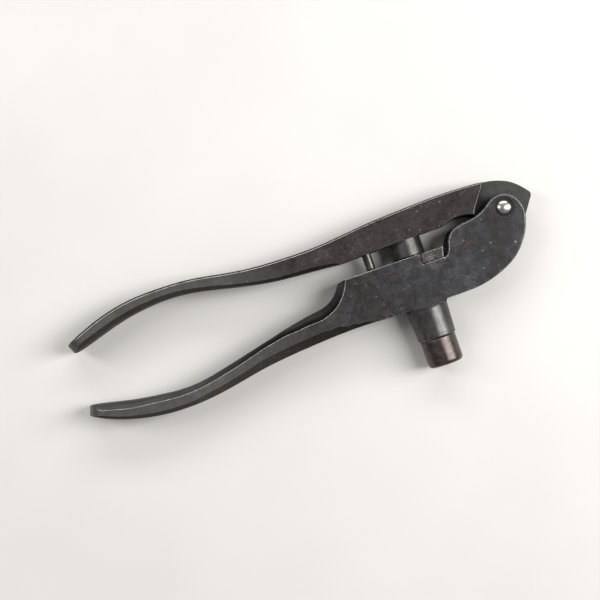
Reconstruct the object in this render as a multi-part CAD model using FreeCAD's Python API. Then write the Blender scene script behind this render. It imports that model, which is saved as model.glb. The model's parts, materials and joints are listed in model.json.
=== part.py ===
import FreeCAD, Part
import math
import os

os.makedirs("parts", exist_ok=True)
V = FreeCAD.Vector

# All lengths in millimetres. The tool lies flat: the hinge axis is the Z axis, the
# handles run to -X, the nose to +X, and the die axis is parallel to Y.

# ---- driving dimensions ------------------------------------------------------
THICK = 20.5            # thickness of both levers
MID_Z = THICK / 2.0
CHEEK = 5.6             # thickness of one fork cheek
SLOT_LOW = CHEEK
SLOT_HIGH = THICK - CHEEK
TONGUE_GAP = 0.25       # side clearance of the tongue in the slot

PIN_R = 3.4             # hinge pin
PIN_RUNNING = 0.05      # radial running fit in the tongue
DISH_R = 4.7            # shallow dish round the pin's domed end
DISH_DEPTH = 0.5
DOME_RISE = 1.0         # height of the dome above its own edge
PIN_PROUD = 0.6         # how far the dome's edge stands above the dish
PIN_SHORT = 0.2         # the pin's flat end is sunk this far below the side face

DIE_X = -49.6           # axis of die and plunger
HEAD_TOP = -7.6         # top face of the lower lever's head
HEAD_BOTTOM = -31.9

PLUNGER_R = 8.0
PLUNGER_FACE = -7.3     # 0.3 above the die mouth when the tool is closed
PLUNGER_BEVEL = 0.4
PLUNGER_STUD_R = 4.0
STUD_LENGTH = 8.0
STUD_RELIEF = 0.5       # a stud stops this short of the bottom of its hole
RIM_RECESS_R = 5.4      # room for the rim of the case in the plunger's face
RIM_RECESS_DEPTH = 1.5
CAP_RECESS_R = 2.0      # and for the raised cap in the middle of it
CAP_RECESS_DEPTH = 4.5

PUNCH_X = -69.0
PUNCH_R = 2.25
PUNCH_TIP = -7.1
PUNCH_BEVEL = 0.5
PRIMING_SEAT_R = 4.6

BOSS_TOP_R = 10.0
BOSS_LOW_R = 9.3
BOSS_END = -48.6
BOSS_CHAMFER = 0.7
BOSS_FLARE = 1.8        # fillet radius where the boss leaves the lever

DIE_TUBE_R = 7.0
DIE_TUBE_END = -56.0
CHAMBER_R = 4.6
CHAMBER_DEPTH = 22.0    # full diameter down to here, then a short cone to the neck
CHAMBER_CONE = 2.5
MOUTH_BEVEL = 0.5
NECK_R = 4.2
CAP_R = 8.65
CAP_END = -62.0
CAP_ROUND = 2.0
CAP_BEVEL = 0.3
STEM_R = 4.1
STEM_TOP = -46.1
STEM_BEVEL = 0.5
STEM_CUP_R = 3.1        # hollow in the stem's top that holds the bullet's nose
STEM_CUP_FLOOR_R = 1.2
STEM_CUP_DEPTH = 3.5
SCREW_R = 3.5
SCREW_END = -61.4
SCREW_SLOT = 1.2        # width of the screwdriver slot
SCREW_SLOT_DEPTH = 1.0
THREAD_GAP = 0.02
FACE_GAP = 0.05         # pieces that butt against each other

ROCKER_X = -23.5        # the extractor's cross pin
ROCKER_Y = -15.0
ROCKER_PIN_R = 1.6
EXTRACTOR_TURN = 13.75  # degrees at full handle opening
HANDLE_TURN = 55.0
TAIL_X = -9.5           # centre of the round tail tip at rest
TAIL_Y = -9.5
TAIL_R = 1.5
CAM_GAP = 0.3
ROCKER_SIDE_GAP = 0.3   # between the rocker and the cheeks
ROCKER_HUB_R = 4.4
ROCKER_RUNNING = 0.05
ROCKER_PIN_LOW = 0.3    # the cross pin goes through one cheek and ends inside the other
ROCKER_PIN_HIGH = 17.2

CLAW_LEFT = -45.4
CLAW_RIGHT = -33.7
CLAW_TOP = -7.75
CLAW_BOTTOM = -12.7
CLAW_INSET = 0.15       # below both side faces
CLAW_EDGE = 0.3
CLAW_CLEARANCE = 0.6    # round the case in the chamber
NOTCH_LEFT = -45.7
NOTCH_RIGHT = -31.2
NOTCH_FLOOR = -13.0

BEVEL_STEP = 3.0        # spacing of the sections that guide the long bevels
LOWER_END = (-219.5, -26.4)     # middle of each handle's end
UPPER_END = (-218.0, 4.2)
LOWER_END_SLOPE = -19.4         # direction of each handle at its end, degrees from X
UPPER_END_SLOPE = 23.0
END_ROUND = 8.0         # corner radius of the handle ends, seen from above the handle

# ---- outlines -----------------------------------------------------------------
# Upper lever, outer edge from the step to the handle end.
UPPER_TOP = [(-5.7, 14.9), (-20, 15.8), (-36, 15.8), (-50, 15.2), (-64, 14.5), (-80, 12.9),
             (-94, 11.9), (-110, 12.0), (-124, 12.8), (-140, 15.2), (-154, 17.5), (-168, 18.2),
             (-182, 17.8), (-196, 15.3), (-208, 11.4), (-222, 5.2)]
# Upper lever, inner edge from the handle end to the head.
UPPER_BOTTOM = [(-220.5, 1.7), (-206, 5.6), (-194, 9.1), (-182, 11.4), (-170, 12.4), (-158, 11.9),
                (-145, 9.5), (-131, 6.3), (-117, 3.6), (-103, 2.2), (-92, 1.4), (-82, 0.5)]
UPPER_COVE = [(-32, 1.5), (-28.9, 1.7), (-26.2, 2.5), (-23.2, 3.0), (-19.6, 2.9), (-14.4, 1.4)]
UPPER_STEP = [(-14.4, 1.4), (-10.9, 7.0), (-7.9, 11.0), (-5.7, 14.9)]
# Tongue beyond the step, clockwise from the top to the cam nose.
TONGUE_TOP = [(-5.7, 14.9), (-1.0, 14.3), (3.6, 12.9), (8.0, 10.7), (11.9, 7.3), (14.6, 4.1)]
TONGUE_TIP = [(14.6, 4.1), (15.4, 2.5), (14.8, 0.7)]
TONGUE_BACK = [(14.8, 0.7), (13.0, -1.9), (11.2, -4.4), (9.8, -6.4)]

# Lower lever, cheek outline from the head's top face round the nose to the underside.
CHEEK_LEFT = [(-30.9, -7.6), (-30.2, -5.9), (-29.2, -4.3), (-27.9, -2.8), (-26.2, -1.8),
              (-23.4, -0.9), (-19.7, -0.3)]
CHEEK_RISE = [(-19.7, -0.3), (-14.6, 0.4), (-11.0, 1.7), (-7.6, 3.7)]
CHEEK_CROWN = [(-7.6, 3.7), (-2.2, 6.4), (2.5, 6.0), (6.1, 3.5), (8.2, -0.4), (8.8, -5.4),
               (7.7, -9.9), (5.8, -14.1), (3.0, -18.3), (-0.4, -22.1), (-5.2, -25.6),
               (-11.1, -28.4), (-18.6, -30.7), (-28.5, -31.9)]
# Right-hand wall of the extractor's notch, from its floor up to the head's top face.
NOTCH_WALL = [(-35.0, -13.0), (-33.2, -12.3), (-32.0, -10.8), (-31.2, -8.9), (-30.9, -7.6)]
LOWER_BOTTOM = [(-60, -31.9), (-72, -31.5), (-84, -31.1), (-95, -31.4), (-107, -32.1), (-120, -33.1),
                (-135, -35.0), (-150, -37.8), (-163, -39.6), (-175, -40.1), (-186, -39.4),
                (-197, -37.4), (-207, -34.3), (-222.5, -26.6)]
LOWER_TOP = [(-222.0, -23.2), (-208, -26.1), (-197, -28.5), (-187, -30.0), (-177, -31.1),
             (-167, -31.0), (-156, -29.2), (-144, -26.5), (-132, -23.7), (-121, -21.1), (-110, -18.8),
             (-101.5, -17.4), (-95.5, -16.2), (-91.3, -13.8), (-88.3, -10.7), (-86.7, -8.5),
             (-85.2, -7.7), (-82.4, -7.6)]
# The hollow's bevel keeps straight on at the head's corner and runs out through its top face.
HOLLOW_EDGE = LOWER_TOP[:-3] + [(-86.4, -7.3), (-84.5, -4.0)]

# Bevels: width of the bevel on the lever's side face at stations along X.
UPPER_OUTER_BEVEL = [(-7, 0.6), (-60, 0.7), (-110, 0.8), (-170, 0.9), (-221.5, 1.0)]
UPPER_INNER_BEVEL = [(-82.6, 0.3), (-85, 0.9), (-88, 1.3), (-97, 1.7), (-112, 1.3), (-131, 1.3),
                     (-150, 1.7), (-168, 2.0), (-190, 2.1), (-220, 2.1)]
LOWER_INNER_BEVEL = [(-84.6, 3.1), (-88, 3.5), (-91.5, 3.9), (-95, 4.3), (-100, 4.9),
                     (-110, 4.0), (-122, 2.6), (-131, 2.2), (-144, 2.6), (-155, 2.6), (-166, 2.5),
                     (-186, 2.7), (-200, 3.2), (-208, 2.9), (-221.5, 2.4)]
LOWER_OUTER_BEVEL = [(-64, 0.3), (-72, 0.6), (-80, 1.5), (-88, 2.5), (-95, 3.9), (-103, 4.4),
                     (-115, 4.3), (-130, 4.1), (-145, 3.3), (-160, 3.0), (-170, 2.2), (-192, 2.0),
                     (-210, 1.5), (-222, 1.5)]
EDGE_BREAK = 0.5        # small bevel on the cheeks, the step and the head

# Slot between the cheeks: round the hinge for the tongue, and a pocket for the rocker.
SLOT_ROUND_R = 14.8
SLOT_FLOOR = -20.0
TONGUE_RUN_OUT = -13.0
SKIN = 1.0              # how far cutters run past a face
FAR = 30.0              # beyond the tool in any direction a cutter must clear


# ---- helpers -------------------------------------------------------------------
def flat(points, z=0.0):
    return [V(x, y, z) for x, y in points]


def spline(points):
    """Smooth curve through the given plan points."""
    curve = Part.BSplineCurve()
    curve.interpolate(flat(points))
    return curve


def edge_of(points):
    if len(points) == 2:
        return Part.makeLine(*flat(points))
    return spline(points).toShape()


def plate(pieces, z_low, z_high):
    """Solid between two heights whose outline is a list of point runs joined end to end."""
    edges = []
    for i, run in enumerate(pieces):
        edges.append(edge_of(run))
        follow = pieces[(i + 1) % len(pieces)][0]
        if math.dist(run[-1], follow) > 1e-6:
            edges.append(edge_of([run[-1], follow]))
    face = Part.Face(Part.Wire(Part.__sortEdges__(edges)))
    face.translate(V(0, 0, z_low))
    return face.extrude(V(0, 0, z_high - z_low))


def at_x(curve, x):
    """Parameter at which a curve that runs steadily along X reaches x."""
    low, high = curve.FirstParameter, curve.LastParameter
    rising = curve.value(high).x > curve.value(low).x
    for _ in range(60):
        middle = (low + high) / 2.0
        if (curve.value(middle).x < x) == rising:
            low = middle
        else:
            high = middle
    return (low + high) / 2.0


def width_at(stations, x):
    """Bevel width between two stations."""
    for (x1, w1), (x2, w2) in zip(stations, stations[1:]):
        if min(x1, x2) <= x <= max(x1, x2):
            share = (x - x1) / (x2 - x1)
            share = share * share * (3 - 2 * share)
            return w1 + (w2 - w1) * share
    return stations[-1][1]


def wedge_pair(curve, places, widths, side_of_travel):
    """Two long wedges that bevel the two side edges along a profile curve.

    side_of_travel is +1 where the metal lies to the left of the curve's direction.
    """
    extra = 0.8         # the wedge runs this far past the two faces it cuts
    cutters = []
    for face_z, out in ((0.0, V(0, 0, -1)), (THICK, V(0, 0, 1))):
        sections = []
        for t, width in zip(places, widths):
            point = curve.value(t)
            ahead = curve.value(min(t + 1e-4, curve.LastParameter))
            tangent = ahead - curve.value(max(t - 1e-4, curve.FirstParameter))
            inward = V(-tangent.y, tangent.x, 0) * side_of_travel
            inward.normalize()
            base = V(point.x, point.y, face_z)
            a = base + inward * (width + extra) + out * extra
            b = base - inward * extra - out * (width + extra)
            c = base - inward * extra + out * extra
            sections.append(Part.makePolygon([a, b, c, a]))
        cutters.append(Part.makeLoft(sections, True, False))
    return cutters


def bevel_cutters(points, stations, side_of_travel):
    """Wedges whose width follows stations given along X."""
    curve = spline(points)
    first, last = at_x(curve, stations[0][0]), at_x(curve, stations[-1][0])
    count = int(abs(curve.length(min(first, last), max(first, last))) / BEVEL_STEP)
    places = [first + (last - first) * i / count for i in range(count + 1)]
    widths = [width_at(stations, curve.value(t).x) for t in places]
    return wedge_pair(curve, places, widths, side_of_travel)


def edge_break(points, side_of_travel, width=EDGE_BREAK):
    """Wedges of one width all along a run of points."""
    curve = spline(points) if len(points) > 2 else Part.LineSegment(*flat(points)).toBSpline()
    first, last = curve.FirstParameter, curve.LastParameter
    count = max(2, int(curve.length(first, last) / 2.0))
    places = [first + (last - first) * i / count for i in range(count + 1)]
    return wedge_pair(curve, places, [width] * (count + 1), side_of_travel)


def rod(radius, x, z, y_from, y_to):
    """Cylinder along Y."""
    low, high = min(y_from, y_to), max(y_from, y_to)
    return Part.makeCylinder(radius, high - low, V(x, low, z), V(0, 1, 0))


def cross_rod(radius, x, y, z_low, z_high):
    return Part.makeCylinder(radius, z_high - z_low, V(x, y, z_low), V(0, 0, 1))


def turned(profile, x, z):
    """Solid turned about the line parallel to Y through (x, z) from (radius, y) points."""
    face = Part.Face(Part.makePolygon([V(r, y, 0) for r, y in profile + profile[:1]]))
    solid = face.revolve(V(0, 0, 0), V(0, 1, 0), 360)
    solid.translate(V(x, 0, z))
    return solid


def box(x1, x2, y1, y2, z1, z2):
    return Part.makeBox(x2 - x1, y2 - y1, z2 - z1, V(x1, y1, z1))


def round_handle_end(solid, end, slope):
    """Cut a handle square to its own direction at its end, and round the two corners."""
    reach = 300.0       # longer than the tool
    blank = box(0, reach, -reach / 2, reach / 2, 0, THICK)
    corners = [e for e in blank.Edges if e.BoundBox.XMax < 1.0 and e.BoundBox.YLength > reach / 2]
    blank = blank.makeFillet(END_ROUND, corners)
    blank.rotate(V(0, 0, 0), V(0, 0, 1), slope)
    blank.translate(V(*end, 0))
    return solid.common(blank)


def quarter_turn(steps=6):
    """Angles from 0 to 90 degrees, for the rounded edges of turned parts."""
    return [math.radians(90.0 * i / steps) for i in range(steps + 1)]


def turn(point, centre, degrees):
    """A plan point turned about a centre."""
    a = math.radians(degrees)
    dx, dy = point[0] - centre[0], point[1] - centre[1]
    return (centre[0] + dx * math.cos(a) - dy * math.sin(a),
            centre[1] + dx * math.sin(a) + dy * math.cos(a))


def cam_curve():
    """The tongue's cam: it keeps CAM_GAP from the extractor's round tail all the way."""
    steps = 10
    path = []
    for i in range(-1, steps + 2):
        handle = HANDLE_TURN * i / steps
        tail = turn((TAIL_X, TAIL_Y), (ROCKER_X, ROCKER_Y), -EXTRACTOR_TURN * i / steps)
        path.append(turn(tail, (0, 0), handle))
    cam = []
    for i in range(1, len(path) - 1):
        tx, ty = path[i + 1][0] - path[i - 1][0], path[i + 1][1] - path[i - 1][1]
        size = math.hypot(tx, ty)
        nx, ny = -ty / size, tx / size
        if nx * path[i][0] + ny * path[i][1] > 0:
            nx, ny = -nx, -ny
        reach = TAIL_R + CAM_GAP
        cam.append((path[i][0] + nx * reach, path[i][1] + ny * reach))
    return cam


# ---- lower lever -----------------------------------------------------------------
def build_die_lever():
    body = plate([LOWER_TOP, [LOWER_TOP[-1], CHEEK_LEFT[0]], CHEEK_LEFT, CHEEK_RISE, CHEEK_CROWN,
                  [CHEEK_CROWN[-1], LOWER_BOTTOM[0]], LOWER_BOTTOM], 0, THICK)
    for cutter in bevel_cutters(HOLLOW_EDGE, LOWER_INNER_BEVEL, -1):
        body = body.cut(cutter)
    for cutter in bevel_cutters(LOWER_BOTTOM, LOWER_OUTER_BEVEL, -1):
        body = body.cut(cutter)
    for run in (CHEEK_LEFT, CHEEK_RISE, CHEEK_CROWN):
        for cutter in edge_break(run, -1):
            body = body.cut(cutter)
    body = round_handle_end(body, LOWER_END, LOWER_END_SLOPE)

    # Boss with a flared root, trimmed flush with the lever's two side faces.
    flare = []
    for angle in quarter_turn():
        flare.append((BOSS_TOP_R + BOSS_FLARE * (1 - math.sin(angle)),
                      HEAD_BOTTOM - BOSS_FLARE * (1 - math.cos(angle))))
    inside = HEAD_BOTTOM + 6.0
    boss = turned([(0, inside), (BOSS_TOP_R + BOSS_FLARE, inside)] + flare
                  + [(BOSS_LOW_R, BOSS_END + BOSS_CHAMFER), (BOSS_LOW_R - BOSS_CHAMFER, BOSS_END),
                     (0, BOSS_END)], DIE_X, MID_Z)
    boss = boss.common(box(DIE_X - FAR, DIE_X + FAR, BOSS_END - FAR, inside + SKIN, 0, THICK))
    body = body.fuse(boss).removeSplitter()

    # Slot between the cheeks, the extractor's notch and the tongue's clearance.
    slot = box(NOTCH_LEFT, 0, SLOT_FLOOR, FAR, SLOT_LOW, SLOT_HIGH)
    slot = slot.fuse(cross_rod(SLOT_ROUND_R, 0, 0, SLOT_LOW, SLOT_HIGH))
    slot = slot.fuse(box(0, FAR, TONGUE_RUN_OUT, FAR, SLOT_LOW, SLOT_HIGH))
    body = body.cut(slot)
    above = (-31.5, -3.0)
    notch = plate([NOTCH_WALL, [NOTCH_WALL[-1], above], [above, (NOTCH_LEFT, above[1])],
                   [(NOTCH_LEFT, above[1]), (NOTCH_LEFT, NOTCH_FLOOR)],
                   [(NOTCH_LEFT, NOTCH_FLOOR), NOTCH_WALL[0]]], -SKIN, THICK + SKIN)
    body = body.cut(notch)
    for cutter in edge_break(NOTCH_WALL, -1):
        body = body.cut(cutter)

    # Bores: die, priming seat, hinge pin and cross pin.
    body = body.cut(rod(DIE_TUBE_R + THREAD_GAP, DIE_X, MID_Z, HEAD_TOP + SKIN, BOSS_END - SKIN))
    body = body.cut(rod(PRIMING_SEAT_R, PUNCH_X, MID_Z, HEAD_TOP + SKIN, HEAD_BOTTOM - SKIN))
    body = body.cut(cross_rod(PIN_R, 0, 0, -SKIN, THICK + SKIN))
    body = body.cut(cross_rod(DISH_R, 0, 0, THICK - DISH_DEPTH, THICK + SKIN))
    body = body.cut(cross_rod(ROCKER_PIN_R, ROCKER_X, ROCKER_Y, -SKIN, ROCKER_PIN_HIGH + 0.2))
    return body.removeSplitter()


# ---- upper lever -------------------------------------------------------------------
def build_plunger_lever():
    body = plate([UPPER_TOP, UPPER_BOTTOM, [UPPER_BOTTOM[-1], UPPER_COVE[0]], UPPER_COVE, UPPER_STEP],
                 0, THICK)
    for cutter in bevel_cutters(UPPER_TOP, UPPER_OUTER_BEVEL, 1):
        body = body.cut(cutter)
    for cutter in bevel_cutters(UPPER_BOTTOM, UPPER_INNER_BEVEL, 1):
        body = body.cut(cutter)
    for run in (UPPER_COVE, UPPER_STEP):
        for cutter in edge_break(run, 1):
            body = body.cut(cutter)
    body = round_handle_end(body, UPPER_END, UPPER_END_SLOPE)

    cam = cam_curve()
    root = [(-14.4, 1.5), (-20.0, 8.0), (-14.0, 15.0)]      # inside the head bar
    tongue = plate([TONGUE_TOP, TONGUE_TIP, TONGUE_BACK, [TONGUE_BACK[-1], cam[-1]], cam[::-1],
                    [cam[0], root[0]], root[:2], root[1:], [root[2], TONGUE_TOP[0]]],
                   SLOT_LOW + TONGUE_GAP, SLOT_HIGH - TONGUE_GAP)
    body = body.fuse(tongue).removeSplitter()
    body = body.cut(cross_rod(PIN_R + PIN_RUNNING, 0, 0, -SKIN, THICK + SKIN))
    body = body.cut(rod(PLUNGER_STUD_R, DIE_X, MID_Z, -SKIN, underside(DIE_X) + STUD_LENGTH))
    body = body.cut(rod(PUNCH_R, PUNCH_X, MID_Z, -SKIN, underside(PUNCH_X) + STUD_LENGTH))
    return body.removeSplitter()


def underside(x):
    """Height of the upper lever's straight underside at x."""
    (x1, y1), (x2, y2) = UPPER_BOTTOM[-1], UPPER_COVE[0]
    return y1 + (y2 - y1) * (x - x1) / (x2 - x1)


# ---- small parts ----------------------------------------------------------------------
def build_pivot_pin():
    top = THICK - DISH_DEPTH + PIN_PROUD
    pin = cross_rod(PIN_R, 0, 0, PIN_SHORT, top)
    sphere_r = (PIN_R ** 2 + DOME_RISE ** 2) / (2 * DOME_RISE)
    ball = Part.makeSphere(sphere_r, V(0, 0, top + DOME_RISE - sphere_r))
    cap = ball.common(cross_rod(PIN_R, 0, 0, top, top + DOME_RISE + SKIN))
    return pin.fuse(cap).removeSplitter()


def build_plunger():
    low = PLUNGER_FACE
    high = underside(DIE_X)
    stud_end = high + STUD_LENGTH - STUD_RELIEF
    body = turned([(0, low), (PLUNGER_R - PLUNGER_BEVEL, low), (PLUNGER_R, low + PLUNGER_BEVEL),
                   (PLUNGER_R, high + SKIN), (PLUNGER_STUD_R, high + SKIN), (PLUNGER_STUD_R, stud_end),
                   (0, stud_end)], DIE_X, MID_Z)
    # The shoulder follows the lever's slightly sloping underside.
    left, right = DIE_X - 2 * PLUNGER_R, DIE_X + 2 * PLUNGER_R
    lever_part = plate([[(left, underside(left)), (right, underside(right))],
                        [(right, stud_end), (left, stud_end)]], -SKIN, THICK + SKIN)
    lever_part = lever_part.cut(rod(PLUNGER_STUD_R, DIE_X, MID_Z, low, stud_end + SKIN))
    body = body.cut(lever_part)
    body = body.cut(rod(RIM_RECESS_R, DIE_X, MID_Z, low - SKIN, low + RIM_RECESS_DEPTH))
    return body.cut(rod(CAP_RECESS_R, DIE_X, MID_Z, low - SKIN, low + CAP_RECESS_DEPTH))


def build_priming_punch():
    end = underside(PUNCH_X) + STUD_LENGTH - STUD_RELIEF
    return turned([(0, PUNCH_TIP), (PUNCH_R - PUNCH_BEVEL, PUNCH_TIP), (PUNCH_R, PUNCH_TIP + PUNCH_BEVEL),
                   (PUNCH_R, end), (0, end)], PUNCH_X, MID_Z)


def build_die_body():
    mouth = HEAD_TOP
    shoulder = mouth - CHAMBER_DEPTH
    tube = rod(DIE_TUBE_R, DIE_X, MID_Z, mouth, DIE_TUBE_END)
    below = DIE_TUBE_END - SKIN
    chamber = turned([(0, mouth + SKIN), (CHAMBER_R + MOUTH_BEVEL, mouth + SKIN),
                      (CHAMBER_R + MOUTH_BEVEL, mouth), (CHAMBER_R, mouth - MOUTH_BEVEL),
                      (CHAMBER_R, shoulder), (NECK_R, shoulder - CHAMBER_CONE), (NECK_R, below),
                      (0, below)], DIE_X, MID_Z)
    tube = tube.cut(chamber)
    # Relief for the extractor's claw at the mouth.
    return tube.cut(box(NOTCH_LEFT, NOTCH_RIGHT, NOTCH_FLOOR, 0, -SKIN, THICK + SKIN))


def build_die_end_cap():
    edge = []
    for angle in quarter_turn():
        edge.append((CAP_R - CAP_ROUND + CAP_ROUND * math.cos(angle),
                     CAP_END + CAP_ROUND - CAP_ROUND * math.sin(angle)))
    bore_r = DIE_TUBE_R + THREAD_GAP
    screw_bore_r = SCREW_R + THREAD_GAP
    top = BOSS_END - FACE_GAP
    floor = DIE_TUBE_END - FACE_GAP
    return turned([(bore_r, top), (CAP_R - CAP_BEVEL, top), (CAP_R, top - CAP_BEVEL)] + edge
                  + [(screw_bore_r, CAP_END), (screw_bore_r, floor), (bore_r, floor)], DIE_X, MID_Z)


def build_seating_stem():
    stem = turned([(0, STEM_TOP), (STEM_R - STEM_BEVEL, STEM_TOP), (STEM_R, STEM_TOP - STEM_BEVEL),
                   (STEM_R, DIE_TUBE_END + STEM_BEVEL), (STEM_R - STEM_BEVEL, DIE_TUBE_END),
                   (0, DIE_TUBE_END)], DIE_X, MID_Z)
    cup = Part.makeCone(STEM_CUP_R, STEM_CUP_FLOOR_R, STEM_CUP_DEPTH, V(DIE_X, STEM_TOP, MID_Z), V(0, -1, 0))
    return stem.cut(cup)


def build_adjusting_screw():
    screw = rod(SCREW_R, DIE_X, MID_Z, DIE_TUBE_END - FACE_GAP, SCREW_END)
    half = SCREW_SLOT / 2
    slot_top = SCREW_END + SCREW_SLOT_DEPTH
    return screw.cut(box(DIE_X - half, DIE_X + half, SCREW_END - SKIN, slot_top, 0, THICK))


def build_extractor():
    low, high = SLOT_LOW + ROCKER_SIDE_GAP, SLOT_HIGH - ROCKER_SIDE_GAP
    claw = plate([[(CLAW_LEFT, CLAW_BOTTOM), (CLAW_LEFT, CLAW_TOP)],
                  [(CLAW_LEFT, CLAW_TOP), (CLAW_RIGHT, CLAW_TOP)],
                  [(CLAW_RIGHT, CLAW_TOP), (CLAW_RIGHT - 1.2, CLAW_BOTTOM)]], CLAW_INSET, THICK - CLAW_INSET)
    claw = claw.makeChamfer(CLAW_EDGE, [e for e in claw.Edges if e.BoundBox.ZLength < 1e-6])
    arm = plate([[(-40.0, CLAW_BOTTOM), (-40.0, CLAW_TOP - 1.0)], [(-35.5, CLAW_TOP - 1.0), (-28.0, -10.2)],
                 [(-23.5, -10.7), (TAIL_X - 1.2, TAIL_Y + 0.75)],
                 [(TAIL_X + 0.5, TAIL_Y - 1.4), (-20.5, -18.1)],
                 [(-26.0, -18.5), (-35.5, CLAW_BOTTOM)]], low, high)
    arm = arm.fuse(cross_rod(ROCKER_HUB_R, ROCKER_X, ROCKER_Y, low, high))
    arm = arm.fuse(cross_rod(TAIL_R, TAIL_X, TAIL_Y, low, high))
    body = claw.fuse(arm).removeSplitter()
    body = body.cut(rod(CHAMBER_R + CLAW_CLEARANCE, DIE_X, MID_Z, SLOT_FLOOR, 0))
    return body.cut(cross_rod(ROCKER_PIN_R + ROCKER_RUNNING, ROCKER_X, ROCKER_Y, 0, THICK))


def build_extractor_pin():
    return cross_rod(ROCKER_PIN_R, ROCKER_X, ROCKER_Y, ROCKER_PIN_LOW, ROCKER_PIN_HIGH)


BUILDERS = {
    "die_lever": build_die_lever,
    "plunger_lever": build_plunger_lever,
    "pivot_pin": build_pivot_pin,
    "plunger": build_plunger,
    "priming_punch": build_priming_punch,
    "die_body": build_die_body,
    "die_end_cap": build_die_end_cap,
    "seating_stem": build_seating_stem,
    "stem_adjusting_screw": build_adjusting_screw,
    "extractor": build_extractor,
    "extractor_pin": build_extractor_pin,
}

for name, build in BUILDERS.items():
    shape = build()
    shape.exportStep("parts/" + name + ".step")
    print(name, shape.ShapeType, len(shape.Solids), shape.isValid(), round(shape.Volume, 1))
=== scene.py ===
import json
import math

import bpy
from mathutils import Matrix, Vector


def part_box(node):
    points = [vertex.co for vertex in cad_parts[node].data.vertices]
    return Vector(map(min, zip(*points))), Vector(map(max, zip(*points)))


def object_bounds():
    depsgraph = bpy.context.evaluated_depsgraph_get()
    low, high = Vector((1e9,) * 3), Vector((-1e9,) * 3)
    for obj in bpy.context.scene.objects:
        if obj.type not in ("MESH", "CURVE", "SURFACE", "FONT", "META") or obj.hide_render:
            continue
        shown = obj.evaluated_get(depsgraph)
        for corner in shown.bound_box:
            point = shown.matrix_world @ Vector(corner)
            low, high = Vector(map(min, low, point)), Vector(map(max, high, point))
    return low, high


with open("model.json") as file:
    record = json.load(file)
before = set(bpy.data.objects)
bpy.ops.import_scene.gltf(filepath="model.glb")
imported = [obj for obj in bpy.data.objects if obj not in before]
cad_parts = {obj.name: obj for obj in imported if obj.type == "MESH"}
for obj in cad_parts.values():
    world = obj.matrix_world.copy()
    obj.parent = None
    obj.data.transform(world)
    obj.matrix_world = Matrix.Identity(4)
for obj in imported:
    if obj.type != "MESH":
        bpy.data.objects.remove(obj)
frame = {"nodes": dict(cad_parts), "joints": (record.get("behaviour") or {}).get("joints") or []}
cad_low, cad_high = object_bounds()
nodes = frame["nodes"]
MM = 0.001


# ---- where things are, in millimetres ----------------------------------------------
rocker_joint = next(joint for joint in frame["joints"] if joint["name"] == "extractor_rock")
rocker = Vector(rocker_joint["pos_m"]) / MM
die_low, die_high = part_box("die_body")
die_x = (die_low.x + die_high.x) / 2 / MM
lever_low, lever_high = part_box("die_lever")
top_z = lever_high.z / MM
handle_end = lever_low.x / MM
claw_low, claw_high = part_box("extractor")
claw = Vector((claw_low.x + 0.006, claw_high.y - 0.002, claw_high.z)) / MM
claw_left = claw_low.x / MM

HANDLE_START = -85.0        # X where the heads end and the handles begin
HOLLOW_START = -80.0        # X where the hollow above the lower handle begins
BEVEL_GROWN = -80.0         # X where the lower lever's underside bevel has its full look
BOSS_ROOT = -32.6           # Y where the boss leaves the lower lever's head
BOSS_REACH = 14.5           # half the width of the boss with the flare at its root
TONGUE_START = -16.0        # X just short of the upper lever's step
TONGUE_DEPTH = 5.1          # from the side face down to the tongue's own face
DISH_RADIUS = 6.4           # of the darkened dish round the hinge pin
NOSE = (-6.0, -12.0, top_z)


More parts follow.
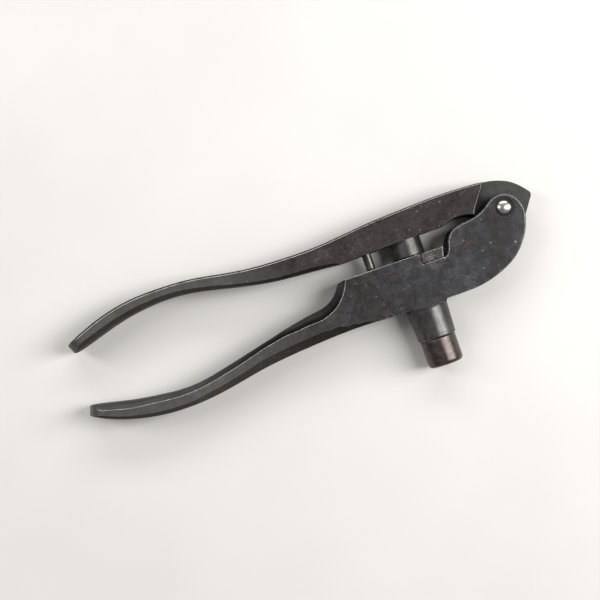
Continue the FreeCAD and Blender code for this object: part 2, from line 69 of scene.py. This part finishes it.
# ---- node helpers --------------------------------------------------------------------
class Tree:
    """A short way to write a material's nodes. Lengths inside are millimetres on the object."""

    def __init__(self, name):
        self.material = bpy.data.materials.new(name)
        self.material.use_nodes = True
        self.tree = self.material.node_tree
        self.tree.nodes.clear()
        coordinates = self.node("ShaderNodeTexCoord")
        self.mm = self.node("ShaderNodeVectorMath", operation="SCALE",
                            ins={0: coordinates.outputs["Object"], "Scale": 1.0 / MM}).outputs[0]
        xyz = self.node("ShaderNodeSeparateXYZ", ins={0: self.mm})
        self.x, self.y, self.z = xyz.outputs
        normal = self.node("ShaderNodeSeparateXYZ", ins={0: coordinates.outputs["Normal"]})
        self.ny, self.nz = normal.outputs[1], normal.outputs[2]

    def node(self, kind, ins=None, **settings):
        made = self.tree.nodes.new(kind)
        for key, value in settings.items():
            setattr(made, key, value)
        for key, value in (ins or {}).items():
            if isinstance(value, bpy.types.NodeSocket):
                self.tree.links.new(value, made.inputs[key])
            else:
                made.inputs[key].default_value = value
        return made

    def math(self, operation, a, b=0.0):
        return self.node("ShaderNodeMath", operation=operation, ins={0: a, 1: b}).outputs[0]

    def mul(self, a, b):
        return self.math("MULTIPLY", a, b)

    def add(self, a, b):
        return self.math("ADD", a, b)

    def sub(self, a, b):
        return self.math("SUBTRACT", a, b)

    def most(self, a, b):
        return self.math("MAXIMUM", a, b)

    def size(self, a):
        return self.math("ABSOLUTE", a)

    def step(self, value, low, high):
        """0 below low and 1 above high, smooth between; low above high turns it round."""
        return self.node("ShaderNodeMapRange", interpolation_type="SMOOTHSTEP",
                         ins={"Value": value, "From Min": low, "From Max": high}).outputs[0]

    def noise(self, feature, detail=4.0, rough=0.55, distortion=0.0, stretch=(1, 1, 1), shift=0.0):
        """Noise with features of about that many millimetres."""
        where = self.node("ShaderNodeMapping",
                          ins={"Vector": self.mm, "Scale": stretch,
                               "Location": (shift, shift, shift)}).outputs[0]
        return self.node("ShaderNodeTexNoise",
                         ins={"Vector": where, "Scale": 1.0 / feature, "Detail": detail,
                              "Roughness": rough, "Distortion": distortion}).outputs["Fac"]

    def spots(self, spacing, radius, share, shift=0.0):
        """Mask of small round spots: about one a spacing, kept in that share of the cells."""
        where = self.node("ShaderNodeMapping",
                          ins={"Vector": self.mm, "Location": (shift, shift, shift)}).outputs[0]
        cells = self.node("ShaderNodeTexVoronoi", feature="F1",
                          ins={"Vector": where, "Scale": 1.0 / spacing})
        chance = self.node("ShaderNodeSeparateColor", ins={0: cells.outputs["Color"]})
        size = self.mul(self.add(self.mul(chance.outputs[1], 0.7), 0.3), radius / spacing)
        inside = self.step(cells.outputs["Distance"], size, self.mul(size, 0.35))
        return self.mul(inside, self.math("LESS_THAN", chance.outputs[0], share))

    def scratches(self, width, length, degrees, shift=0.0):
        """Mask of thin broken scratches on the side faces, at that angle to X."""
        where = self.node("ShaderNodeMapping", vector_type="TEXTURE",
                          ins={"Vector": self.mm, "Rotation": (0, 0, math.radians(degrees)),
                               "Scale": (length / width, 1.0, 3.0),
                               "Location": (shift, shift, 0)}).outputs[0]
        lines = self.node("ShaderNodeTexNoise",
                          ins={"Vector": where, "Scale": 1.0 / width, "Detail": 1.0})
        return self.step(lines.outputs["Fac"], 0.66, 0.74)

    def length(self, vector):
        return self.node("ShaderNodeVectorMath", operation="LENGTH", ins={0: vector}).outputs["Value"]

    def near(self, centre, reach, squeeze=(1, 1, 1)):
        """1 at a place and 0 beyond reach."""
        away = self.node("ShaderNodeVectorMath", operation="SUBTRACT",
                         ins={0: self.mm, 1: tuple(centre)}).outputs[0]
        away = self.node("ShaderNodeVectorMath", operation="MULTIPLY", ins={0: away, 1: squeeze}).outputs[0]
        return self.step(self.length(away), reach, 0.0)

    def from_hinge(self):
        """Distance from the hinge axis, which is the object's Z axis."""
        return self.length(self.node("ShaderNodeCombineXYZ", ins={0: self.x, 1: self.y}).outputs[0])

    def ramp(self, value, stops):
        made = self.node("ShaderNodeValToRGB", ins={0: value})
        elements = made.color_ramp.elements
        while len(elements) < len(stops):
            elements.new(0.5)
        for element, (place, colour) in zip(elements, stops):
            element.position = place
            element.color = (*colour, 1.0)
        return made.outputs[0]

    def blend(self, share, a, b):
        """A colour between a and b."""
        made = self.node("ShaderNodeMix", data_type="RGBA")
        for index, value in ((0, share), (6, a), (7, b)):
            if isinstance(value, bpy.types.NodeSocket):
                self.tree.links.new(value, made.inputs[index])
            else:
                made.inputs[index].default_value = value if index == 0 else (*value, 1.0)
        return made.outputs[2]

    def mixed(self, share, a, b):
        """A number between a and b."""
        return self.node("ShaderNodeMix", data_type="FLOAT", ins={0: share, 2: a, 3: b}).outputs[0]

    def dim(self, colour, factor):
        """Colour times a number."""
        return self.node("ShaderNodeVectorMath", operation="SCALE",
                         ins={0: colour, "Scale": factor}).outputs[0]

    def edges(self, radius, low, high):
        """Mask of crisp edges, and the normal rounded over the radius that finds them."""
        soft = self.node("ShaderNodeBevel", samples=6, ins={"Radius": radius * MM}).outputs[0]
        own = self.node("ShaderNodeNewGeometry").outputs["Normal"]
        turn = self.node("ShaderNodeVectorMath", operation="DOT_PRODUCT",
                         ins={0: soft, 1: own}).outputs["Value"]
        return self.step(self.sub(1.0, turn), low, high), soft

    def y_on_object(self, normal):
        """A normal's Y on the object, so that it stays right when the lever turns."""
        turned = self.node("ShaderNodeVectorTransform", vector_type="NORMAL", convert_from="WORLD",
                           convert_to="OBJECT", ins={0: normal}).outputs[0]
        return self.node("ShaderNodeSeparateXYZ", ins={0: turned}).outputs[1]

    def finish(self, colour, roughness, height, metallic, normal=None, specular=0.5):
        bump_ins = {"Height": height, "Distance": MM, "Strength": 1.0}
        if normal is not None:
            bump_ins["Normal"] = normal
        bump = self.node("ShaderNodeBump", ins=bump_ins).outputs[0]
        shader = self.node("ShaderNodeBsdfPrincipled",
                           ins={"Base Color": colour, "Roughness": roughness, "Metallic": metallic,
                                "Normal": bump, "Specular IOR Level": specular})
        self.node("ShaderNodeOutputMaterial", ins={"Surface": shader.outputs[0]})
        return self.material


# ---- old browned and blued steel -----------------------------------------------------
BARE_METAL_AND_HIGHLIGHT = (0.76, 0.735, 0.70)
PLAIN_GREY = (0.0780, 0.0765, 0.0750)
BROWNED = (0.054, 0.039, 0.029)
PIT_BLACK = (0.012, 0.010, 0.009)
SPECK_GREY = (0.46, 0.455, 0.45)
SCRATCH_GREY = (0.24, 0.235, 0.23)
PLUM = [(0.36, (0.052, 0.038, 0.037)), (0.47, (0.070, 0.058, 0.056)), (0.55, (0.062, 0.049, 0.050)),
        (0.64, (0.084, 0.078, 0.075))]
BLUE = [(0.36, (0.070, 0.058, 0.053)), (0.46, (0.063, 0.061, 0.065)), (0.56, (0.068, 0.069, 0.077)),
        (0.66, (0.086, 0.081, 0.077))]
RUST = [(0.32, (0.045, 0.033, 0.027)), (0.50, (0.120, 0.100, 0.088)), (0.66, (0.32, 0.29, 0.26))]
TONGUE_GREY = [(0.0, (0.008, 0.0078, 0.0074)), (0.30, (0.014, 0.0137, 0.0131)),
               (0.62, (0.038, 0.038, 0.036)), (1.0, (0.044, 0.044, 0.041))]
BOSS_GREY = [(0.32, (0.044, 0.040, 0.038)), (0.50, (0.090, 0.086, 0.083)), (0.68, (0.150, 0.145, 0.141))]


class Patina:
    """The noises and masks that the old steel pieces share."""

    def __init__(self, name, part):
        self.t = t = Tree(name)
        self.part = part
        self.broad = t.noise(19.0, 5.0, 0.6, 0.9)
        self.middle = t.noise(4.2, 6.0, 0.62, 0.4, shift=31.0)
        self.fine = t.noise(0.75, 6.0, 0.75, shift=7.0)
        self.grain = t.noise(0.30, 2.0, 0.6)
        self.drawn = t.noise(0.5, 4.0, 0.6, stretch=(0.045, 1, 1), shift=3.0)
        # The handles are plainer towards their ends, lighter there with painted sheen, and polished less
        # rough.
        self.plain = t.step(t.x, HANDLE_START, handle_end + 80.0)
        self.sheen_and_polish = t.mul(t.step(t.x, HANDLE_START, handle_end + 60.0), 1.20)
        self.rim = t.step(t.size(t.nz), 0.55, 0.25)
        self.under = t.step(t.ny, -0.15, -0.62)
        self.bevel_start_painted_light = None
        if part == "lower":
            # Where the underside's bevel has only just begun, painted light brings it up to the side face's
            # tone.
            bevel_start_painted_light = t.mul(t.step(t.size(t.nz), 0.40, 0.55), t.step(t.x, BEVEL_GROWN, BEVEL_GROWN + 5.0))
            self.bevel_start_painted_light = t.mul(bevel_start_painted_light, self.under)
            self.under = t.sub(self.under, self.bevel_start_painted_light)
        small = t.most(t.spots(0.95, 0.20, 0.4, 13.0), t.mul(t.step(self.fine, 0.66, 0.80), 0.55))
        pitting = t.most(t.spots(1.9, 0.42, 0.5), small)
        pitting = t.mul(pitting, t.step(self.broad, 0.36, 0.62))
        self.pitting = t.mul(pitting, t.mixed(self.plain, 1.0, 0.45))


def base_coat(p, stops, shade):
    """Mottled colour of the sound patina, browner on undersides; painted shade darkens undersides and rims,
    and painted sheen lightens the handles' ends.
    """
    t = p.t
    patch = t.add(t.mul(p.broad, 0.55), t.mul(p.middle, 0.45))
    colour = t.ramp(patch, stops)
    if p.part == "lower":
        # Blued at the nose, browner along the handle.
        colour = t.blend(t.step(t.x, -52.0, -130.0), colour, t.ramp(patch, PLUM))
    colour = t.blend(t.mul(p.plain, 0.85), colour, PLAIN_GREY)
    colour = t.blend(t.mul(p.under, 0.6), colour, BROWNED)

    light = t.mul(t.step(p.middle, 0.36, 0.64), 0.30)
    light = t.add(light, t.mul(t.step(p.fine, 0.36, 0.64), 0.42))
    light = t.add(light, t.mul(t.step(p.broad, 0.34, 0.66), 0.36))
    light = t.add(light, t.mul(t.step(p.drawn, 0.35, 0.65), 0.14))
    light = t.add(light, 0.36)
    light = t.mul(t.mixed(t.mul(p.plain, 0.6), light, 1.02), shade)
    # The heads are a little lighter beside the handles than at the nose.
    light = t.mul(light, t.mixed(t.step(t.x, -60.0, -15.0), 1.20, 0.93))
    # Painted sheen on the handles' ends.
    light = t.mul(light, t.add(p.sheen_and_polish, 1.0))
    # Painted light where the underside's bevel begins, to match the side face.
    if p.bevel_start_painted_light is not None:
        light = t.mul(light, t.mixed(p.bevel_start_painted_light, 1.0, 1.9))
    # Undersides darker, partly their darker patina and partly painted shade; rims darker with painted shade.
    light = t.mul(light, t.mixed(p.under, 1.0, 0.62))
    light = t.mul(light, t.mixed(p.rim, 1.0, 0.55))
    return t.dim(colour, light)


def spots_and_scratches(p, colour):
    """Dark pits, light specks and thin scratches on the coat."""
    t = p.t
    colour = t.blend(t.mul(p.pitting, 0.70), colour, PIT_BLACK)
    specks = t.mul(t.spots(2.3, 0.62, 0.42, 47.0), t.step(p.middle, 0.40, 0.54))
    strength = 0.28
    if p.part == "lower":
        strength = t.mixed(t.near(NOSE, 26.0), 0.25, 0.85)
    colour = t.blend(t.mul(specks, strength), colour, SPECK_GREY)
    marks = t.most(t.scratches(0.45, 9.0, 14.0), t.scratches(0.40, 12.0, -31.0, 60.0))
    marks = t.mul(marks, t.step(p.broad, 0.40, 0.60))
    return t.blend(t.mul(marks, 0.30), colour, SCRATCH_GREY)


def coat_surface(p):
    """Roughness and height of the coat."""
    t = p.t
    roughness = t.add(t.mul(p.middle, 0.18), t.mul(p.fine, 0.16))
    roughness = t.add(roughness, 0.23)
    roughness = t.add(roughness, t.mul(p.pitting, 0.18))
    roughness = t.sub(roughness, t.mul(p.sheen_and_polish, 0.07))
    # Rims and undersides are dull with old rust.
    roughness = t.add(roughness, t.mul(t.most(p.rim, p.under), 0.38))
    height = t.add(t.mul(p.fine, 0.030), t.mul(p.grain, 0.012))
    height = t.add(height, t.mul(p.middle, 0.05))
    height = t.add(height, t.mul(p.drawn, 0.012))
    return roughness, t.sub(height, t.mul(p.pitting, 0.055))


def rust_round_claw(p, colour, roughness, height):
    """Rusted and scuffed metal on the extractor's claw and round its notch."""
    t = p.t
    scuff = t.mul(t.near(claw, 12.0, (1, 1.25, 0.6)), t.step(p.middle, 0.36, 0.60))
    colour = t.blend(t.mul(scuff, 0.75), colour, t.ramp(p.fine, RUST))
    roughness = t.add(roughness, t.mul(scuff, 0.16))
    return colour, roughness, t.add(height, t.mul(t.mul(scuff, p.fine), 0.06))


def hinge_dish_darkening(t):
    """Mask of the dish round the hinge pin."""
    inside = t.step(t.from_hinge(), DISH_RADIUS, DISH_RADIUS - 2.2)
    return t.mul(inside, t.step(t.z, top_z - 3.0, top_z - 1.0))


def lower_lever_stains_and_shade(p, colour, darkened_round_hinge):
    """Stain over the cross pin, darkening in the dish round the hinge pin, and painted shade and painted
    light in the hollow.
    """
    t = p.t
    stain = t.mul(t.near((rocker.x + 1.0, rocker.y + 5.0, top_z), 8.5, (1, 1.4, 1)),
                  t.step(p.middle, 0.40, 0.62))
    colour = t.blend(t.mul(stain, 0.65), colour, (0.085, 0.045, 0.036))
    # Near-black in the dish round the hinge pin.
    colour = t.blend(t.mul(darkened_round_hinge, 0.85), colour, (0.014, 0.011, 0.010))

    # Painted shade: the ground hollow above the lower handle is painted darkest beside the head.
    upward = t.step(t.ny, 0.30, 0.62)
    hollow_shade = t.mul(upward, t.step(t.x, HOLLOW_START, HOLLOW_START - 6.0))
    hollow_shade = t.mul(hollow_shade, t.step(t.x, -196.0, -120.0))
    hollow_shade = t.mul(hollow_shade, t.mixed(t.step(t.z, top_z - 1.0, top_z - 2.6), 1.0, 0.42))
    colour = t.blend(t.mul(hollow_shade, 0.90), colour, (0.006, 0.0055, 0.005))
    # Painted light: its outer part, beyond the bevel's middle, is painted a lighter grey.
    outer = t.mul(upward, t.step(t.x, HOLLOW_START - 12.0, HOLLOW_START - 26.0))
    outer = t.mul(outer, t.step(t.z, top_z - 1.7, top_z - 2.5))
    return t.blend(t.mul(outer, 0.80), colour, (0.060, 0.060, 0.054))


def tongue_steel(p, colour, roughness):
    """The tongue between the cheeks is cleaner and greyer; it is dark against the step."""
    t = p.t
    face = top_z - TONGUE_DEPTH
    tongue = t.mul(t.step(t.x, TONGUE_START, TONGUE_START + 3.0), t.step(t.z, face, face - 0.4))
    along = t.add(t.mul(t.x, 0.83), t.mul(t.y, 0.56))
    # Darker towards the step, lighter towards the nose.
    tongue_tone = t.ramp(t.step(along, -6.5, 5.0), TONGUE_GREY)
    mottle = t.add(t.mul(t.step(p.fine, 0.35, 0.65), 0.40), t.mul(t.step(p.middle, 0.35, 0.65), 0.30))
    tongue_tone = t.dim(tongue_tone, t.add(mottle, 0.62))
    tongue_tone = t.blend(t.mul(p.pitting, 0.5), tongue_tone, (0.02, 0.018, 0.016))
    return t.blend(tongue, colour, tongue_tone), t.add(roughness, t.mul(tongue, 0.08))


def edge_wear_and_highlights(p, strength, darkened_round_hinge):
    """Mask of edges rubbed to bare metal, with painted highlights on the edges that face up and outwards,
    and the rounded normal.
    """
    t = p.t
    wear_and_highlight, soft = t.edges(0.26, 0.004, 0.034)
    kept = t.step(t.add(t.mul(p.fine, 0.5), t.mul(p.middle, 0.5)), 0.27, 0.48)
    wear_and_highlight = t.mul(wear_and_highlight, t.most(kept, t.mul(p.plain, 0.85)))
    # Edges that face down and inwards are kept dark, so the painted highlights stay on the upper edges.
    wear_and_highlight = t.mul(wear_and_highlight, t.mixed(t.step(t.y_on_object(soft), -0.02, -0.30), 1.0, 0.10))
    # So are the edges between a bevel and the rim.
    half = top_z / 2
    beside_face = t.step(t.size(t.sub(t.z, half)), half - 0.75, half - 0.45)
    beside_face = t.most(beside_face, t.step(t.y, -31.0, -33.0))
    wear_and_highlight = t.mul(wear_and_highlight, t.mixed(beside_face, 0.12, 1.0))
    wear_and_highlight = t.mul(wear_and_highlight, strength)
    if p.part == "lower":
        wear_and_highlight = t.mul(wear_and_highlight, t.mixed(darkened_round_hinge, 1.0, 0.0))
        wear_and_highlight = t.mul(wear_and_highlight, t.mixed(t.near((claw_left, claw.y - 1.0, top_z), 4.5), 1.0, 0.0))
    if p.part == "claw":
        wear_and_highlight = t.mul(wear_and_highlight, t.step(t.x, claw_left + 1.0, claw_left + 4.0))
    return wear_and_highlight, soft


def outer_bevel(p, colour, roughness, wear_and_highlight):
    """The upper lever's narrow outer bevel gets painted shade, and a painted highlight where it meets the
    side face.
    """
    t = p.t
    bevel = t.mul(t.step(t.ny, 0.35, 0.55), t.step(t.nz, 0.35, 0.55))
    # Painted shade on the outer bevel.
    colour = t.blend(t.mul(bevel, 0.85), colour, (0.008, 0.007, 0.0065))
    roughness = t.add(roughness, t.mul(bevel, 0.30))
    # Painted highlight along the bevel's top edge, stronger towards the handle's end.
    painted_highlight = t.mul(bevel, t.mixed(t.step(t.x, -60.0, -120.0), 0.35, 1.0))
    painted_highlight = t.mul(painted_highlight, t.step(t.z, top_z - 0.20, top_z - 0.08))
    painted_highlight = t.mul(painted_highlight, t.step(t.add(t.mul(p.fine, 0.4), t.mul(p.middle, 0.6)), 0.36, 0.52))
    return colour, roughness, t.most(wear_and_highlight, painted_highlight)


def turned_boss(p, wear_and_highlight, colour, roughness, height, metallic):
    """The boss is turned: finer and glossier, with rings left by the tool."""
    t = p.t
    left, far_right = die_x - BOSS_REACH, die_x + BOSS_REACH
    boss = t.mul(t.step(t.y, BOSS_ROOT, BOSS_ROOT - 2.0), t.step(t.x, left, left + 1.5))
    boss = t.mul(boss, t.step(t.x, far_right, far_right - 1.5))
    rings = t.noise(0.35, 3.0, 0.6, stretch=(0.03, 1, 0.03))
    streaks = t.noise(0.9, 4.0, 0.6, stretch=(1, 0.05, 1))
    turned = t.ramp(t.add(t.mul(p.middle, 0.5), t.mul(streaks, 0.5)), BOSS_GREY)
    turned = t.blend(t.mul(p.pitting, 0.45), turned, (0.018, 0.015, 0.013))
    turned = t.blend(t.mul(wear_and_highlight, 0.8), turned, BARE_METAL_AND_HIGHLIGHT)
    colour = t.blend(boss, colour, turned)
    gloss = t.add(t.mul(p.middle, 0.18), t.add(t.mul(rings, 0.10), 0.25))
    forged = t.add(t.mul(rings, 0.006), t.add(t.mul(p.fine, 0.016), t.mul(p.middle, 0.05)))
    roughness = t.mixed(boss, roughness, gloss)
    height = t.mixed(boss, height, forged)
    metallic = t.mixed(boss, metallic, 0.90)
    return colour, roughness, height, metallic


def old_steel(name, stops, shade, edge_strength, part):
    """Forged steel with worn patina and painted edge highlights. part is lower or upper for the levers, or
    claw.
    """
    p = Patina(name, part)
    t = p.t
    colour = spots_and_scratches(p, base_coat(p, stops, shade))
    roughness, height = coat_surface(p)
    darkened_round_hinge = None
    if part in ("lower", "claw"):
        colour, roughness, height = rust_round_claw(p, colour, roughness, height)
    if part == "lower":
        darkened_round_hinge = hinge_dish_darkening(t)
        colour = lower_lever_stains_and_shade(p, colour, darkened_round_hinge)
    if part == "upper":
        colour, roughness = tongue_steel(p, colour, roughness)
    wear_and_highlight, soft = edge_wear_and_highlights(p, edge_strength, darkened_round_hinge)
    if part == "upper":
        colour, roughness, wear_and_highlight = outer_bevel(p, colour, roughness, wear_and_highlight)
    metallic = t.mixed(wear_and_highlight, t.mixed(p.rim, 0.45, 0.0), 0.30)
    colour = t.blend(wear_and_highlight, colour, BARE_METAL_AND_HIGHLIGHT)
    roughness = t.mixed(wear_and_highlight, roughness, 0.38)
    if part == "lower":
        colour, roughness, height, metallic = turned_boss(p, wear_and_highlight, colour, roughness, height, metallic)
    return t.finish(colour, roughness, height, metallic, soft, specular=0.22)


# ---- turned parts ----------------------------------------------------------------------
DARK_TURNED = [(0.34, (0.050, 0.046, 0.043)), (0.50, (0.085, 0.081, 0.077)), (0.66, (0.130, 0.125, 0.119))]
CAP_BROWN = [(0.34, (0.046, 0.032, 0.029)), (0.50, (0.084, 0.068, 0.063)), (0.66, (0.132, 0.118, 0.112))]
BRIGHT_TURNED = [(0.32, (0.260, 0.250, 0.238)), (0.50, (0.360, 0.350, 0.335)), (0.70, (0.450, 0.438, 0.420))]
PIN_BRIGHT = [(0.32, (0.34, 0.327, 0.31)), (0.5, (0.49, 0.477, 0.46)), (0.7, (0.60, 0.586, 0.565))]


def turned_steel(name, stops, rough, metallic, pit_share, edge_strength):
    """Turned about an axis parallel to Y: rings round it, streaks along it."""
    t = Tree(name)
    middle = t.noise(3.4, 5.0, 0.6, 0.5, shift=19.0)
    fine = t.noise(0.55, 5.0, 0.7)
    rings = t.noise(0.30, 3.0, 0.6, stretch=(0.03, 1, 0.03))
    streaks = t.noise(0.8, 4.0, 0.6, stretch=(1, 0.05, 1))
    colour = t.ramp(t.add(t.mul(middle, 0.6), t.mul(streaks, 0.4)), stops)
    colour = t.dim(colour, t.add(t.mul(fine, 0.45), 0.78))
    pits = t.most(t.spots(1.3, 0.30, pit_share), t.spots(0.7, 0.16, pit_share, 9.0))
    pits = t.mul(pits, t.step(middle, 0.30, 0.55))
    colour = t.blend(t.mul(pits, 0.6), colour, (0.028, 0.021, 0.018))
    wear_and_highlight, soft = t.edges(0.30, 0.010, 0.10)
    wear_and_highlight = t.mul(t.mul(wear_and_highlight, t.step(middle, 0.28, 0.50)), edge_strength)
    colour = t.blend(wear_and_highlight, colour, BARE_METAL_AND_HIGHLIGHT)
    roughness = t.add(t.add(t.mul(middle, 0.14), t.mul(rings, 0.10)), rough)
    roughness = t.add(roughness, t.mul(pits, 0.2))
    height = t.add(t.mul(rings, 0.008), t.mul(fine, 0.012))
    height = t.sub(height, t.mul(pits, 0.04))
    return t.finish(colour, roughness, height, metallic, soft)


def pin_steel(name, darkened_round_hinge):
    """Bright pin with the small scratches and, for the hinge pin, painted shade darkening the dome's rim."""
    t = Tree(name)
    fine = t.noise(0.5, 5.0, 0.65)
    scratches = t.noise(0.22, 3.0, 0.7, stretch=(0.12, 1, 1), shift=5.0)
    crossing = t.noise(0.22, 3.0, 0.7, stretch=(1, 0.12, 1), shift=15.0)
    marks = t.most(t.step(scratches, 0.62, 0.72), t.step(crossing, 0.64, 0.74))
    colour = t.ramp(fine, PIN_BRIGHT)
    colour = t.blend(t.mul(marks, 0.35), colour, (0.24, 0.22, 0.20))
    if darkened_round_hinge:
        # Painted shade round the dome's base.
        rim = t.most(t.step(t.from_hinge(), 2.55, 3.25), t.step(t.z, top_z + 0.25, top_z - 0.1))
        colour = t.blend(t.mul(rim, 0.85), colour, (0.055, 0.046, 0.040))
    roughness = t.add(t.add(t.mul(fine, 0.20), t.mul(marks, 0.15)), 0.17)
    height = t.sub(t.mul(fine, 0.006), t.mul(marks, 0.006))
    return t.finish(colour, roughness, height, 1.0)


materials = {
    "die_lever": old_steel("die_lever_patina", BLUE, 0.54, 1.0, "lower"),
    "plunger_lever": old_steel("plunger_lever_patina", PLUM, 0.50, 1.0, "upper"),
    "extractor": old_steel("extractor_patina", BLUE, 0.45, 0.9, "claw"),
    "plunger": turned_steel("plunger_steel", DARK_TURNED, 0.27, 0.85, 0.25, 0.5),
    "priming_punch": turned_steel("punch_steel", DARK_TURNED, 0.20, 0.85, 0.25, 0.5),
    "die_end_cap": turned_steel("end_cap_steel", CAP_BROWN, 0.22, 0.82, 0.65, 0.6),
    "die_body": turned_steel("die_steel", BRIGHT_TURNED, 0.14, 1.0, 0.1, 0.5),
    "seating_stem": turned_steel("stem_steel", BRIGHT_TURNED, 0.18, 1.0, 0.1, 0.5),
    "stem_adjusting_screw": turned_steel("screw_steel", DARK_TURNED, 0.20, 0.95, 0.5, 0.7),
    "pivot_pin": pin_steel("hinge_pin_steel", True),
    "extractor_pin": pin_steel("cross_pin_steel", False),
}
for name, node in nodes.items():
    for slot in node.material_slots:
        slot.material = materials[name]


# ---- floor -------------------------------------------------------------------------------
FLOOR_HALF = 3.0
FLOOR_Z = -0.0002


def pale_floor():
    corners = [(-FLOOR_HALF, -FLOOR_HALF, FLOOR_Z), (FLOOR_HALF, -FLOOR_HALF, FLOOR_Z),
               (FLOOR_HALF, FLOOR_HALF, FLOOR_Z), (-FLOOR_HALF, FLOOR_HALF, FLOOR_Z)]
    mesh = bpy.data.meshes.new("floor")
    mesh.from_pydata(corners, [], [(0, 1, 2, 3)])
    made = bpy.data.objects.new("floor", mesh)
    bpy.context.scene.collection.objects.link(made)
    t = Tree("pale_floor")
    soft = t.noise(90.0, 3.0, 0.5)
    colour = t.ramp(soft, [(0.3, (0.70, 0.68, 0.65)), (0.7, (0.74, 0.72, 0.69))])
    fine = t.noise(0.8, 3.0, 0.5)
    mesh.materials.append(t.finish(colour, t.add(t.mul(soft, 0.1), 0.55), t.mul(fine, 0.01), 0.0))


pale_floor()

# ---- camera ------------------------------------------------------------------------------
# Almost square to the tool's side face, from 0.6 m, with the tool's X axis rising to the right.
ROLL = math.radians(19.4)
EYE = Vector((-0.1110, -0.0149, 0.6205))
TARGET = Vector((-0.1065, -0.0094, lever_high.z))
LENS = 75.6
right = Vector((math.cos(ROLL), -math.sin(ROLL), 0.0))
up = Vector((math.sin(ROLL), math.cos(ROLL), 0.0))
back = (EYE - TARGET).normalized()
side = up.cross(back).normalized()
turn = Matrix((side, back.cross(side), back)).transposed().to_4x4()
camera_data = bpy.data.cameras.new("camera")
camera_data.sensor_width = 36.0
camera_data.lens = LENS
camera_data.clip_start = 0.01
camera = bpy.data.objects.new("camera", camera_data)
camera.matrix_world = Matrix.Translation(EYE) @ turn
bpy.context.scene.collection.objects.link(camera)
bpy.context.scene.camera = camera


# ---- light -------------------------------------------------------------------------------
def softbox(name, across, upward, out, distance, width, height, watts):
    """Area light aimed at the middle of the tool; directions are the picture's right, up and out."""
    middle = (cad_low + cad_high) / 2
    direction = (right * across + up * upward + Vector((0, 0, out))).normalized()
    data = bpy.data.lights.new(name, "AREA")
    data.shape = "RECTANGLE"
    data.size = width
    data.size_y = height
    data.energy = watts
    made = bpy.data.objects.new(name, data)
    aim = direction.to_track_quat("Z", "Y").to_matrix().to_4x4()
    made.matrix_world = Matrix.Translation(middle + direction * distance) @ aim
    bpy.context.scene.collection.objects.link(made)


softbox("softbox_right", 0.66, 0.14, 0.74, 1.0, 0.36, 0.80, 9.5)
softbox("softbox_left", -0.66, 0.20, 0.71, 1.0, 0.24, 0.70, 3.0)
softbox("softbox_top", 0.0, 0.80, 0.60, 1.1, 1.30, 0.30, 5.5)

world = bpy.data.worlds.new("studio")
world.use_nodes = True
background = world.node_tree.nodes["Background"]
background.inputs["Color"].default_value = (1.0, 0.985, 0.97, 1.0)
background.inputs["Strength"].default_value = 0.26
bpy.context.scene.world = world
bpy.context.scene.view_settings.view_transform = "Standard"
